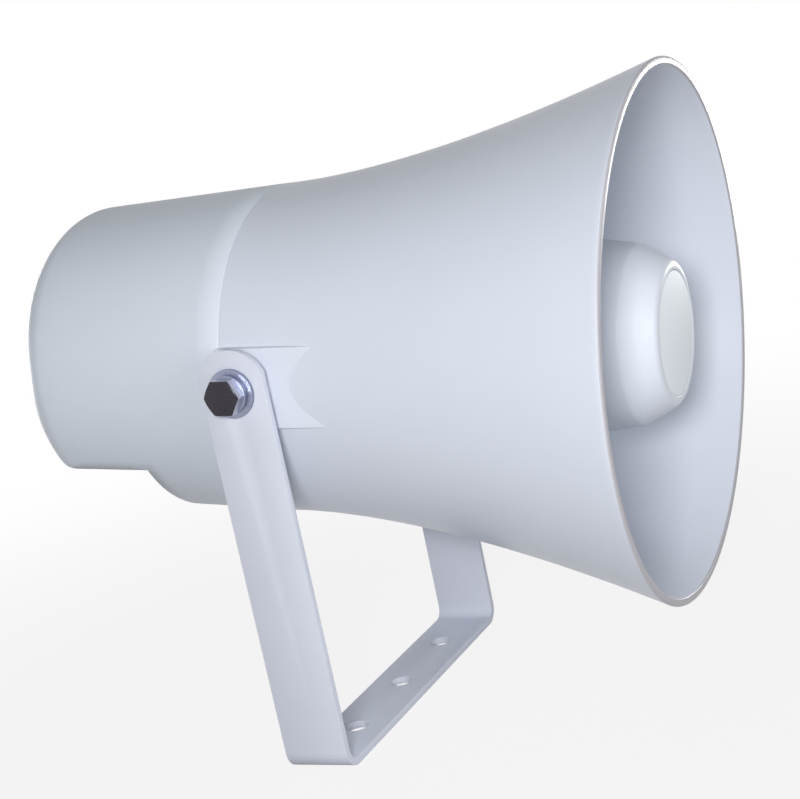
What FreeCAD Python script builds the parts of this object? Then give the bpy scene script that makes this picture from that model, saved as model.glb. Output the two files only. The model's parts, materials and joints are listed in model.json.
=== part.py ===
import FreeCAD, Part
import math
import os

Vector = FreeCAD.Vector
AXIS = Vector(1, 0, 0)
PIVOT = Vector(0, 1, 0)
ORIGIN = Vector(0, 0, 0)

# A weatherproof public-address horn on a U bracket.
# The horn pieces are drawn about the horn axis, which runs along X with the mouth at +X.
# Their zero is the pivot axis, which runs along Y. At the end they are tilted and set on the bracket.
# Radii are named _radius, and places along the horn axis are named _x.

# Forms of one casting are drawn this far into each other
overlap = 1.0

# Compression driver, from the pole outwards; the shell is built around it
pole_radius = 17.0
pole_vent_radius = 4.0
gap_width = 1.6
coil_play = 0.4
coil_thickness = 0.8
coil_height = 8.0
surround_width = 6.8
surround_recess = 2.5
surround_rise = 1.2
dome_height = 5.0
dome_gap = 0.7
diaphragm_thickness = 0.6
diaphragm_flange_width = 6.0
diaphragm_flange_setback = 2.0
dome_radius = pole_radius + coil_play + coil_thickness
diaphragm_flange_inner_radius = dome_radius + surround_width
diaphragm_flange_radius = diaphragm_flange_inner_radius + diaphragm_flange_width
spacer_ring_thickness = 1.2
magnet_bore_room = 4.0
magnet_bore_radius = pole_radius + magnet_bore_room
magnet_thickness = 15.0
top_plate_thickness = 5.0
back_plate_thickness = 5.0
driver_can_radius = diaphragm_flange_radius + diaphragm_flange_setback
driver_can_length = 7.0
cone_inset = 2.0
driver_cone_radius = pole_radius - cone_inset
plug_room = 4.0
plug_base_radius = driver_cone_radius - plug_room
plug_length = 12.0
plug_nose_pull = 3.0
plug_rib_setback = 0.3
plug_rib_thickness = 1.6
plug_rib_length = 4.0
terminal_tab_size = (12.0, 0.8, 6.3)
terminal_tab_room = 4.0
terminal_tab_circle = driver_can_radius + terminal_tab_room
driver_screw_room = 4.5
driver_flange_edge = 3.5
driver_screw_circle = driver_can_radius + driver_screw_room
driver_screw_angles = (45.0, 135.0, 225.0, 315.0)
driver_flange_radius = driver_screw_circle + driver_flange_edge
driver_flange_thickness = 4.0
driver_gasket_thickness = 1.0
driver_boss_radius = 4.2
driver_boss_height = 5.0

# Screw wells of the rear cover, and the posts that they meet
post_radius = 4.2
post_room = 2.3
cover_screw_circle = driver_flange_radius + post_radius + post_room
cover_screw_angles = (60.0, 120.0, 195.0, 345.0)
well_inner_radius = 4.75
well_wall = 2.0
well_floor = 3.0
well_plug_setback = 0.5
well_plug_depth = 7.0
well_plug_wall = 1.2
well_plug_play = 0.1

# Rear cover
cover_rear_x = -112.1
cover_edge_room = 16.8
cover_rear_radius = cover_screw_circle + cover_edge_room
cover_wall = 3.0
cover_edge_round = 14.0
cover_rim_wall = 4.0
cover_rim_length = 7.0
notch_step_x = -61.4

# Bell
mouth_radius = 102.0
mouth_x = 150.4
seam_x = -10.8
cover_taper = 4.1
seam_radius = cover_rear_radius + cover_taper
flare_power = 1.64
flare_steps = 8
bell_wall = 3.0
rim_round = 0.6
skirt_wall = 4.0
seam_groove = 0.4
post_setback = 1.2
post_end_x = seam_x - post_setback

# Bulkhead at the root of the bell, with the bowl that turns the sound forwards
bulkhead_rear_x = 10.0
bulkhead_wall = 4.0
bowl_round = 20.0

# Flat pads at the pivot, with a round collar and an insert boss inside
pad_distance = seam_radius + 2.2
pad_top_z = 15.0
pad_bottom_z = -16.2
pad_front_x = 45.0
pad_depth = 6.0
collar_radius = 10.0
insert_radius = 5.6
insert_length = 14.0
insert_boss_radius = insert_radius + 3.4
insert_boss_wall = 2.5
boss_rib_thickness = 5.0

# Tongue and groove joint between bell and rear cover
tongue_radius = seam_radius - 2.8
tongue_thickness = 1.6
tongue_length = 2.6
groove_play = 0.15
cover_gasket_thickness = 1.0

# Reflector, the folded middle horn that opens to the rear
nose_setback = 2.5
nose_radius = 27.0
nose_round = 1.2
nose_cone_length = 12.5
nose_cone_radius = nose_radius + 7.3
nose_shoulder_round = 5.0
reflector_rear_x = 34.0
reflector_slope_deg = 9.5
reflector_straight_share = 0.6
reflector_wall = 2.5
nose_wall = 2.5
disc_radius = nose_radius - 3.5
disc_thickness = 1.5
disc_recess = 1.3
disc_play = 0.15
disc_edge_round = 0.4
leg_count = 3
leg_screw_play = 0.3
leg_boss_radius = 3.5
leg_boss_grip = 7.0
leg_pad_radius = 4.5
leg_pad_height = 3.0

# Throat tube
throat_radius = 9.5
tube_mouth_radius = 22.0
tube_front_x = 112.0
tube_wall = 2.2
tube_root_room = 7.5
tube_root_radius = driver_screw_circle - tube_root_room
tube_root_play = 0.3
bulkhead_hole_radius = tube_root_radius + tube_root_play
tube_root_curve = 16.0
tube_flange_thickness = 3.0
tube_core_wall = 2.6
tube_core_end_setback = 5.2

# Screws
screw_radius = 2.0
small_screw_radius = 1.75
screw_head_radius = 3.6
small_head_radius = 3.2
screw_head_height = 2.6
screw_head_chamfer = 0.9
screw_tip_room = 0.5
thread_play = 0.1
clearance_hole_play = 0.3
cover_screw_length = 16.0
driver_screw_length = 16.0
reflector_screw_length = 14.0
transformer_screw_length = 8.0

# Line transformer on the floor of the rear cover
core_width = 42.0
core_height = 35.0
core_stack = 20.0
core_behind_step = 22.6
core_centre_x = notch_step_x - core_behind_step
core_window_width = 7.0
core_window_height = 21.0
core_limb_width = 14.0
bobbin_play = 0.3
bobbin_wall = 1.2
winding_build = 5.0
winding_play = 0.3
strap_thickness = 1.2
strap_width = 12.0
strap_ear_length = 9.0
floor_boss_radius = 4.0
floor_boss_height = 6.0

# Terminal block beside the transformer
block_size = (24.0, 12.0, 11.0)
block_gap = 1.8
block_ways = 3
block_wire_radius = 2.0
block_wire_height = 3.7
block_clamp_radius = 1.9
block_clamp_recess = 2.0
clamp_slot_width = 0.8
clamp_slot_depth = 1.0

# Cable gland in the step of the notch, whose depth leaves room for it
locknut_flats = 20.0
locknut_to_wall = 1.305
locknut_thickness = 4.0
gland_to_notch_flat = 2.0303
gland_thread_radius = 8.0
gland_hex = 19.0
gland_flange_thickness = 5.0
gland_inner_length = 8.5
gland_neck_radius = 7.2
gland_neck_length = 8.0
gland_bore_radius = 5.2
gland_play = 0.1
gland_cap_length = 16.0
gland_grip_length = 9.6
gland_cap_gap = 0.6
gland_cap_wall = 1.6
cable_radius = 4.0
gland_seal_radius = 6.2
gland_seal_length = 9.0
gland_lip_radius = 4.8

# Pivot bolts
bolt_radius = 4.0
bolt_length = 20.0
bolt_head_flats = 13.0
bolt_head_height = 5.3
bolt_head_chamfer = 0.75
bolt_chamfer_deg = 30.0
washer_radius = 9.4
washer_thickness = 1.6
spring_washer_radius = 7.4
spring_washer_thickness = 2.0
spring_washer_gap = 2.2
spring_washer_turn_deg = 40.0
washer_play = 0.25
friction_washer_thickness = 2.0
running_gap = 0.3

# U bracket
pad_to_arm = 4.9
strip_width = 27.4
strip_thickness = 3.0
bend_inner_radius = 5.0
pivot_height = 153.6
arm_end_radius = 14.3
arm_end_centre_above_pivot = 2.0
base_hole_radius = 4.75
base_hole_pitch = 44.0
pivot_hole_radius = 4.3
horn_tilt_deg = 4.9

# Places worked out from the sizes above
bulkhead_front_x = bulkhead_rear_x + bulkhead_wall
leg_circle = driver_flange_radius + small_head_radius + leg_screw_play
reflector_rear_radius = leg_circle + reflector_wall
leg_foot_x = bulkhead_front_x + leg_pad_height
skirt_inner_radius = seam_radius - skirt_wall
arm_inner_y = pad_distance + pad_to_arm
bracket_outer_width = 2 * (arm_inner_y + strip_thickness)
collar_end_y = arm_inner_y - running_gap - friction_washer_thickness
tube_flange_rear_x = bulkhead_rear_x - driver_gasket_thickness - tube_flange_thickness
can_front_x = tube_flange_rear_x
flange_rear_x = can_front_x - driver_flange_thickness
can_rear_x = flange_rear_x - driver_can_length
ring_rear_x = can_rear_x - diaphragm_thickness - spacer_ring_thickness
magnet_front_x = ring_rear_x - top_plate_thickness
magnet_rear_x = magnet_front_x - magnet_thickness
driver_rear_x = magnet_rear_x - back_plate_thickness
step_share = (notch_step_x - cover_rear_x) / (seam_x - cover_rear_x)
step_radius = cover_rear_radius + cover_taper * step_share
gland_centre_below_axis = step_radius - cover_wall - locknut_flats / math.sqrt(3) - locknut_to_wall
notch_depth_below_axis = gland_centre_below_axis - gland_hex / math.sqrt(3) - gland_to_notch_flat
cover_floor_z = -notch_depth_below_axis + cover_wall
strap_end_y = core_width / 2 + strap_thickness + strap_ear_length
strap_ear_y = strap_end_y - strap_ear_length / 2
block_centre_y = strap_end_y + block_gap + block_size[1] / 2
gland_flange_x = notch_step_x - gland_flange_thickness
gland_neck_x = gland_flange_x - gland_neck_length
washer_y = bracket_outer_width / 2 + running_gap
spring_washer_y = washer_y + washer_thickness
head_seat_y = spring_washer_y + spring_washer_thickness


def point(x, radius):
    """A point of a turned profile."""
    return Vector(x, 0, radius)


def line(a, b):
    return Part.LineSegment(point(*a), point(*b)).toShape()


def arc(a, middle, b):
    return Part.Arc(point(*a), point(*middle), point(*b)).toShape()


def curve(points):
    spline = Part.BSplineCurve()
    spline.interpolate([point(*p) for p in points])
    return spline.toShape()


def turned(edges):
    """Spin a closed outline of edges about the horn axis."""
    return Part.Face(Part.Wire(edges)).revolve(ORIGIN, AXIS, 360)


def turned_polygon(points):
    closed = points + [points[0]]
    edges = [line(a, b) for a, b in zip(closed, closed[1:]) if a != b]
    return turned(edges)


def ring(x0, x1, outer_radius, inner_radius):
    return turned_polygon([
        (x0, inner_radius),
        (x0, outer_radius),
        (x1, outer_radius),
        (x1, inner_radius),
    ])


def rod(x0, x1, radius, y=0.0, z=0.0):
    """A cylinder along the horn axis between two places."""
    low = min(x0, x1)
    return Part.makeCylinder(radius, abs(x1 - x0), Vector(low, y, z), AXIS)


def along_y(y0, y1, radius):
    """A cylinder about the pivot axis between two places."""
    return Part.makeCylinder(radius, y1 - y0, Vector(0, y0, 0), PIVOT)


def washer(y0, thickness, outer_radius, inner_radius):
    y1 = y0 + thickness
    return along_y(y0, y1, outer_radius).cut(along_y(y0, y1, inner_radius))


def block(x0, x1, y0, y1, z0, z1):
    return Part.makeBox(x1 - x0, y1 - y0, z1 - z0, Vector(x0, y0, z0))


def hexagon(flats):
    """The corners of a closed hexagon, with one corner along its first direction."""
    corner = flats / math.sqrt(3)
    return [on_circle(corner, 60.0 * i) for i in range(7)]


def on_circle(radius, angle_deg):
    """A place on a circle: Y and Z when the circle lies about the horn axis."""
    angle = math.radians(angle_deg)
    return radius * math.cos(angle), radius * math.sin(angle)


def leg_angles():
    return [90.0 + 360.0 * i / leg_count for i in range(leg_count)]


def flare_radius(x):
    share = max(0.0, (x - seam_x) / (mouth_x - seam_x))
    return seam_radius + (mouth_radius - seam_radius) * share ** flare_power


def flare_slope(x):
    share = max(0.0, (x - seam_x) / (mouth_x - seam_x))
    rise = (mouth_radius - seam_radius) / (mouth_x - seam_x)
    return rise * flare_power * share ** (flare_power - 1)


def bell_inner_radius(x):
    return flare_radius(x) - bell_wall * math.hypot(1, flare_slope(x))


def spaced(start, end, steps):
    return [start + (end - start) * i / steps for i in range(steps + 1)]


def flare_core(end_x):
    """What lies inside the middle of the bell's wall, from the seam to end_x."""
    middle = [(x, flare_radius(x) - bell_wall / 2) for x in spaced(seam_x, end_x, flare_steps)]
    edges = [
        curve(middle),
        line(middle[-1], (end_x, 0)),
        line((end_x, 0), (seam_x, 0)),
        line((seam_x, 0), middle[0]),
    ]
    return turned(edges)


def bell_shell():
    """The turned form of the bell: flare, bowl, bulkhead, skirt and tongue."""
    start_x = seam_x + seam_groove
    outer = [(x, flare_radius(x)) for x in spaced(start_x, mouth_x, flare_steps)]
    bowl_x = bulkhead_front_x + bowl_round
    wall_radius = bell_inner_radius(bowl_x)
    flat_radius = wall_radius - bowl_round
    inner = [(x, bell_inner_radius(x)) for x in spaced(mouth_x, bowl_x, flare_steps)]
    diagonal = math.sqrt(0.5)
    bowl_middle = (bowl_x - bowl_round * diagonal, flat_radius + bowl_round * diagonal)
    back_round = bowl_round + bulkhead_wall
    join_x = bowl_x - math.sqrt(back_round ** 2 - (skirt_inner_radius - flat_radius) ** 2)
    half_angle = math.asin((skirt_inner_radius - flat_radius) / back_round) / 2
    back_middle = (bowl_x - back_round * math.cos(half_angle),
                   flat_radius + back_round * math.sin(half_angle))
    tongue_outer = tongue_radius + tongue_thickness
    tongue_end_x = seam_x - tongue_length
    edges = [
        curve(outer),
        line(outer[-1], inner[0]),
        curve(inner),
        arc(inner[-1], bowl_middle, (bulkhead_front_x, flat_radius)),
        line((bulkhead_front_x, flat_radius), (bulkhead_front_x, bulkhead_hole_radius)),
        line((bulkhead_front_x, bulkhead_hole_radius), (bulkhead_rear_x, bulkhead_hole_radius)),
        line((bulkhead_rear_x, bulkhead_hole_radius), (bulkhead_rear_x, flat_radius)),
        arc((bulkhead_rear_x, flat_radius), back_middle, (join_x, skirt_inner_radius)),
        line((join_x, skirt_inner_radius), (seam_x, skirt_inner_radius)),
        line((seam_x, skirt_inner_radius), (seam_x, tongue_radius)),
        line((seam_x, tongue_radius), (tongue_end_x, tongue_radius)),
        line((tongue_end_x, tongue_radius), (tongue_end_x, tongue_outer)),
        line((tongue_end_x, tongue_outer), (seam_x, tongue_outer)),
        line((seam_x, tongue_outer), (seam_x, seam_radius - seam_groove)),
        line((seam_x, seam_radius - seam_groove), outer[0]),
    ]
    shell = turned(edges)
    rim = [e for e in shell.Edges if e.BoundBox.XMin > mouth_x - rim_round / 2]
    return shell.makeFillet(rim_round, rim)


def pivot_side(side):
    """The pad, collar, insert boss and rib on one side of the bell, and the hole for the insert."""
    pad = block(seam_x, pad_front_x, pad_distance - pad_depth, pad_distance,
                pad_bottom_z, pad_top_z)
    pad = pad.cut(flare_core(pad_front_x))
    boss_start_y = collar_end_y - insert_length - insert_boss_wall
    boss_end_y = skirt_inner_radius + overlap
    boss = along_y(boss_start_y, boss_end_y, insert_boss_radius)
    collar = along_y(pad_distance - pad_depth / 2, collar_end_y, collar_radius)
    half_rib = boss_rib_thickness / 2
    rib = block(0, bulkhead_front_x - overlap, boss_start_y, boss_end_y, -half_rib, half_rib)
    added = pad.fuse([boss, collar, rib])
    hole = along_y(collar_end_y - insert_length, collar_end_y, insert_radius)
    if side < 0:
        added = added.mirror(ORIGIN, PIVOT)
        hole = hole.mirror(ORIGIN, PIVOT)
    return added, hole


def horn_bell():
    added = []
    holes = []
    for side in (1, -1):
        pieces, hole = pivot_side(side)
        added.append(pieces)
        holes.append(hole)
    for angle in cover_screw_angles:
        y, z = on_circle(cover_screw_circle, angle)
        tip_x = post_end_x - well_floor + cover_screw_length
        added.append(rod(post_end_x, bulkhead_front_x - overlap, post_radius, y, z))
        holes.append(rod(post_end_x, tip_x + screw_tip_room, screw_radius + thread_play, y, z))
    for angle in driver_screw_angles:
        y, z = on_circle(driver_screw_circle, angle)
        boss_end_x = bulkhead_front_x + driver_boss_height
        tip_x = flange_rear_x + driver_screw_length
        added.append(rod(bulkhead_front_x - overlap, boss_end_x, driver_boss_radius, y, z))
        holes.append(rod(bulkhead_rear_x, tip_x + screw_tip_room, screw_radius + thread_play, y, z))
    for angle in leg_angles():
        y, z = on_circle(leg_circle, angle)
        added.append(rod(bulkhead_front_x - overlap, leg_foot_x, leg_pad_radius, y, z))
        holes.append(rod(bulkhead_rear_x, leg_foot_x, small_screw_radius + clearance_hole_play, y, z))
    return bell_shell().fuse(added).cut(holes).removeSplitter()


def reflector_flank(inset, nose_end):
    """The long side of the reflector, from the nose cone to the open rear end."""
    length = nose_end[0] - reflector_rear_x
    straight = reflector_straight_share * length
    rise = straight * math.tan(math.radians(reflector_slope_deg))
    return bezier([
        nose_end,
        (nose_end[0] - straight, nose_end[1] + rise),
        (reflector_rear_x, reflector_rear_radius - inset),
    ])


def reflector():
    nose_x = mouth_x - nose_setback
    floor_x = nose_x - disc_recess - disc_thickness
    inner_nose_x = floor_x - nose_wall
    cone_end_x = nose_x - nose_cone_length
    cone_rise = (nose_cone_radius - nose_radius) / nose_cone_length
    inner_nose_radius = nose_radius + (nose_x - inner_nose_x) * cone_rise - reflector_wall
    recess_radius = disc_radius + disc_play
    cone_end = (cone_end_x, nose_cone_radius)
    inner_cone_end = (cone_end_x, nose_cone_radius - reflector_wall)
    edges = [
        line((floor_x, 0), (floor_x, recess_radius)),
        line((floor_x, recess_radius), (nose_x, recess_radius)),
        line((nose_x, recess_radius), (nose_x, nose_radius)),
        line((nose_x, nose_radius), cone_end),
        reflector_flank(0, cone_end),
        line((reflector_rear_x, reflector_rear_radius), (reflector_rear_x, leg_circle)),
        reflector_flank(reflector_wall, inner_cone_end),
        line(inner_cone_end, (inner_nose_x, inner_nose_radius)),
        line((inner_nose_x, inner_nose_radius), (inner_nose_x, 0)),
        line((inner_nose_x, 0), (floor_x, 0)),
    ]
    shell = turned(edges)
    shell = shell.makeFillet(nose_round, ring_edges(shell, nose_x, nose_radius))
    shell = shell.makeFillet(nose_shoulder_round, ring_edges(shell, cone_end_x, nose_cone_radius))
    bosses = []
    holes = []
    tip_x = bulkhead_rear_x + reflector_screw_length
    for angle in leg_angles():
        y, z = on_circle(leg_circle, angle)
        bosses.append(rod(leg_foot_x, reflector_rear_x + leg_boss_grip, leg_boss_radius, y, z))
        holes.append(rod(leg_foot_x, tip_x + screw_tip_room, small_screw_radius + thread_play, y, z))
    return shell.fuse(bosses).cut(holes)


def ring_edges(solid, x, radius):
    """The round edges of a turned solid at one place and radius."""
    found = []
    for edge in solid.Edges:
        box = edge.BoundBox
        flat = box.XLength < 0.01 and abs(box.XMin - x) < 0.01
        if flat and abs(box.ZMax - radius) < 0.01:
            found.append(edge)
    return found


def nose_disc():
    rear_x = mouth_x - nose_setback - disc_recess - disc_thickness
    disc = rod(rear_x, rear_x + disc_thickness, disc_radius)
    return disc.makeFillet(disc_edge_round, ring_edges(disc, rear_x + disc_thickness, disc_radius))


def tube_bore_radius(x):
    share = (x - tube_flange_rear_x) / (tube_front_x - tube_flange_rear_x)
    return throat_radius + (tube_mouth_radius - throat_radius) * share


def bezier(poles):
    edge = Part.BezierCurve()
    edge.setPoles([point(*p) for p in poles])
    return edge.toShape()


def throat_tube():
    """The tapered tube with its flared root and flange, cored out behind the root."""
    front_x = bulkhead_rear_x - driver_gasket_thickness
    curve_end_x = bulkhead_front_x + tube_root_curve
    curve_end = (curve_end_x, tube_bore_radius(curve_end_x) + tube_wall)
    root = (bulkhead_front_x, tube_root_radius)
    tube_end = (tube_front_x, tube_mouth_radius + tube_wall)
    core_end_x = curve_end_x - tube_core_end_setback
    core_end = (core_end_x, tube_bore_radius(core_end_x) + tube_core_wall)
    core_root = (bulkhead_front_x, tube_root_radius - tube_core_wall)
    edges = [
        line((tube_flange_rear_x, throat_radius), (tube_front_x, tube_mouth_radius)),
        line((tube_front_x, tube_mouth_radius), tube_end),
        line(tube_end, curve_end),
        bezier([curve_end, (root[0] + tube_wall, curve_end[1]), root]),
        line(root, (front_x, tube_root_radius)),
        line((front_x, tube_root_radius), (front_x, driver_flange_radius)),
        line((front_x, driver_flange_radius), (tube_flange_rear_x, driver_flange_radius)),
        line((tube_flange_rear_x, driver_flange_radius), (tube_flange_rear_x, core_root[1])),
        line((tube_flange_rear_x, core_root[1]), core_root),
        bezier([core_root, (root[0], core_end[1]), core_end]),
        line(core_end, (tube_flange_rear_x, throat_radius + tube_core_wall)),
        line((tube_flange_rear_x, throat_radius + tube_core_wall), (tube_flange_rear_x, throat_radius)),
    ]
    return turned(edges).cut(driver_screw_holes(tube_flange_rear_x, front_x))


def driver_screw_holes(x0, x1):
    radius = screw_radius + clearance_hole_play
    return [rod(x0, x1, radius, *on_circle(driver_screw_circle, a)) for a in driver_screw_angles]


def driver_gasket():
    rear_x = bulkhead_rear_x - driver_gasket_thickness
    seal = ring(rear_x, bulkhead_rear_x, driver_flange_radius, bulkhead_hole_radius)
    return seal.cut(driver_screw_holes(rear_x, bulkhead_rear_x))


def driver_bore_radius(x):
    narrow_x = can_front_x
    wide_x = can_rear_x + surround_recess
    share = (x - wide_x) / (narrow_x - wide_x)
    return driver_cone_radius + (throat_radius - driver_cone_radius) * share


def driver_housing():
    recess_x = can_rear_x + surround_recess
    housing = turned_polygon([
        (can_front_x, throat_radius),
        (can_front_x, driver_flange_radius),
        (flange_rear_x, driver_flange_radius),
        (flange_rear_x, driver_can_radius),
        (can_rear_x, driver_can_radius),
        (can_rear_x, diaphragm_flange_inner_radius),
        (recess_x, diaphragm_flange_inner_radius),
        (recess_x, driver_cone_radius),
    ])
    return housing.cut(driver_screw_holes(flange_rear_x, can_front_x))


def dome_sphere_radius():
    return (dome_radius ** 2 + dome_height ** 2) / (2 * dome_height)


def dome_point(shift, radius):
    """A point of the dome, moved along the axis by shift."""
    sphere = dome_sphere_radius()
    return can_rear_x + shift + dome_height - sphere + math.sqrt(sphere ** 2 - radius ** 2), radius


def dome_profile(shift):
    """The flange, surround and dome as a line of edges from the outside inwards."""
    base_x = can_rear_x + shift
    roll_start = (base_x, diaphragm_flange_inner_radius)
    roll_middle = (base_x + surround_rise, (diaphragm_flange_inner_radius + dome_radius) / 2)
    dome_start = (base_x, dome_radius)
    return [
        line((base_x, diaphragm_flange_radius), roll_start),
        arc(roll_start, roll_middle, dome_start),
        arc(dome_start, dome_point(shift, dome_radius / 2), dome_point(shift, 0)),
    ]


def diaphragm():
    front = dome_profile(0)
    rear = dome_profile(-diaphragm_thickness)
    apex = line(dome_point(0, 0), dome_point(-diaphragm_thickness, 0))
    edge = line((can_rear_x - diaphragm_thickness, diaphragm_flange_radius),
                (can_rear_x, diaphragm_flange_radius))
    return turned(front + [apex] + rear[::-1] + [edge])


def phase_plug():
    """A bullet in the throat with a hollow base that follows the dome, held by three ribs."""
    base_edge = dome_point(dome_gap, plug_base_radius)
    base_middle = dome_point(dome_gap, plug_base_radius / 2)
    base_centre = dome_point(dome_gap, 0)
    tip = (base_centre[0] + plug_length, 0)
    bullet = turned([
        arc(base_centre, base_middle, base_edge),
        bezier([base_edge, (base_edge[0] + plug_nose_pull, plug_base_radius), tip]),
        line(tip, base_centre),
    ])
    rib_x = base_centre[0] + plug_rib_setback
    rib_end_x = rib_x + plug_rib_length
    seat = turned_polygon([
        (rib_x, 0),
        (rib_x, driver_bore_radius(rib_x) - thread_play),
        (rib_end_x, driver_bore_radius(rib_end_x) - thread_play),
        (rib_end_x, 0),
    ])
    half_rib = plug_rib_thickness / 2
    rib = block(rib_x, rib_end_x, 0, driver_cone_radius, -half_rib, half_rib)
    ribs = []
    for angle in leg_angles():
        turned_rib = rib.copy()
        turned_rib.rotate(ORIGIN, AXIS, angle)
        ribs.append(turned_rib.common(seat))
    return bullet.fuse(ribs)


def spacer_ring():
    front_x = can_rear_x - diaphragm_thickness
    return ring(ring_rear_x, front_x, diaphragm_flange_radius, diaphragm_flange_inner_radius)


def top_plate():
    return ring(magnet_front_x, ring_rear_x, driver_can_radius, pole_radius + gap_width)


def magnet():
    return ring(magnet_rear_x, magnet_front_x, driver_can_radius, magnet_bore_radius)


def back_plate():
    return turned_polygon([
        (driver_rear_x, pole_vent_radius),
        (driver_rear_x, driver_can_radius),
        (magnet_rear_x, driver_can_radius),
        (magnet_rear_x, pole_radius),
        (ring_rear_x, pole_radius),
        (ring_rear_x, pole_vent_radius),
    ])


def voice_coil():
    front_x = can_rear_x - diaphragm_thickness
    inner_radius = pole_radius + coil_play
    return ring(front_x - coil_height, front_x, inner_radius + coil_thickness, inner_radius)


def driver_terminals():
    length, thickness, width = terminal_tab_size
    tabs = []
    for y in (-terminal_tab_circle, terminal_tab_circle):
        tabs.append(block(flange_rear_x - length, flange_rear_x, y - thickness / 2, y + thickness / 2,
                          -width / 2, width / 2))
    return tabs


def pan_screw(head_x, length, radius, head_radius, y, z):
    """A screw along +X, whose head stands behind head_x and whose shank goes ahead of it."""
    shank = rod(head_x, head_x + length, radius, y, z)
    chamfer_x = head_x - screw_head_height + screw_head_chamfer
    head = rod(chamfer_x, head_x, head_radius, y, z)
    crown = Part.makeCone(head_radius, head_radius - screw_head_chamfer, screw_head_chamfer,
                          Vector(chamfer_x, y, z), -AXIS)
    return shank.fuse([head, crown])


def screw_group(circle, angles, head_x, length, radius, head_radius):
    return [pan_screw(head_x, length, radius, head_radius, *on_circle(circle, a)) for a in angles]


def cover_side_radius(x):
    share = (x - cover_rear_x) / (seam_x - cover_rear_x)
    return cover_rear_radius + (seam_radius - cover_rear_radius) * share


def cover_form(inset):
    """The closed form of the rear cover, or of the hollow inside it when inset is the wall."""
    slope = math.atan((seam_radius - cover_rear_radius) / (seam_x - cover_rear_x))
    rear_x = cover_rear_x + inset
    edge = cover_edge_round - inset
    side = inset / math.cos(slope)
    centre_x = rear_x + edge
    centre_radius = cover_side_radius(centre_x) - side - edge / math.cos(slope)
    middle = math.radians(135) + slope / 2
    tangent = (centre_x - edge * math.sin(slope), centre_radius + edge * math.cos(slope))
    edges = [
        line((seam_x, 0), (seam_x, seam_radius - side)),
        line((seam_x, seam_radius - side), tangent),
        arc(tangent, (centre_x + edge * math.cos(middle), centre_radius + edge * math.sin(middle)),
            (rear_x, centre_radius)),
        line((rear_x, centre_radius), (rear_x, 0)),
        line((rear_x, 0), (seam_x, 0)),
    ]
    return turned(edges).cut(notch(inset))


def notch(inset):
    """What is taken off the underside at the rear, rounded up to the rear face."""
    step_x = notch_step_x + inset
    flat_z = -notch_depth_below_axis + inset
    rear_x = cover_rear_x + inset
    edge = cover_edge_round - inset
    reach = mouth_radius
    diagonal = edge * (1 - math.sqrt(0.5))
    corners = [
        line((step_x, -reach), (step_x, flat_z)),
        line((step_x, flat_z), (rear_x + edge, flat_z)),
        arc((rear_x + edge, flat_z), (rear_x + diagonal, flat_z + diagonal), (rear_x, flat_z + edge)),
        line((rear_x, flat_z + edge), (rear_x - edge, flat_z + edge)),
        line((rear_x - edge, flat_z + edge), (rear_x - edge, -reach)),
        line((rear_x - edge, -reach), (step_x, -reach)),
    ]
    outline = Part.Face(Part.Wire(corners))
    outline.translate(Vector(0, -reach, 0))
    return outline.extrude(Vector(0, 2 * reach, 0))


def rear_cover():
    outer = cover_form(0)
    groove_inner = tongue_radius - groove_play
    groove_outer = tongue_radius + tongue_thickness + groove_play
    rim = ring(seam_x - cover_rim_length, seam_x,
               seam_radius - cover_wall / 2, seam_radius - cover_rim_wall)
    groove = ring(seam_x - tongue_length - cover_gasket_thickness, seam_x, groove_outer, groove_inner)
    edge_groove = turned_polygon([
        (seam_x, seam_radius - seam_groove),
        (seam_x, seam_radius + overlap),
        (seam_x - seam_groove - overlap, seam_radius + overlap),
    ])
    added = [rim]
    holes = [groove, edge_groove]
    floor_x = post_end_x - well_floor
    for angle in cover_screw_angles:
        y, z = on_circle(cover_screw_circle, angle)
        well = rod(cover_rear_x, post_end_x, well_inner_radius + well_wall, y, z)
        added.append(well.common(outer))
        holes.append(rod(cover_rear_x - overlap, floor_x, well_inner_radius, y, z))
        holes.append(rod(floor_x, post_end_x, screw_radius + clearance_hole_play, y, z))
    for y in (-strap_ear_y, strap_ear_y):
        base = Vector(core_centre_x, y, cover_floor_z - cover_wall / 2)
        added.append(Part.makeCylinder(floor_boss_radius, floor_boss_height + cover_wall / 2, base))
        foot = Vector(core_centre_x, y, cover_floor_z + floor_boss_height - transformer_screw_length)
        holes.append(Part.makeCylinder(small_screw_radius + thread_play, transformer_screw_length, foot))
    holes.append(rod(notch_step_x, notch_step_x + cover_wall, gland_thread_radius + gland_play,
                     0, -gland_centre_below_axis))
    return outer.cut(cover_form(cover_wall)).fuse(added).cut(holes)


def well_plugs():
    """Push-in caps that close the mouths of the screw wells, hollow on the inside."""
    face_x = cover_rear_x + well_plug_setback
    plugs = []
    for angle in cover_screw_angles:
        y, z = on_circle(cover_screw_circle, angle)
        plug = rod(face_x, face_x + well_plug_depth, well_inner_radius - well_plug_play, y, z)
        hollow_radius = well_inner_radius - well_plug_play - well_plug_wall
        plugs.append(plug.cut(rod(face_x + well_plug_wall, face_x + well_plug_depth, hollow_radius, y, z)))
    return plugs


def cover_gasket():
    x = seam_x - tongue_length
    return ring(x - cover_gasket_thickness, x, tongue_radius + tongue_thickness, tongue_radius)


def core_block(half_x, half_y, z0, z1):
    return block(core_centre_x - half_x, core_centre_x + half_x, -half_y, half_y, z0, z1)


def window_bottom_z():
    return cover_floor_z + (core_height - core_window_height) / 2


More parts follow.
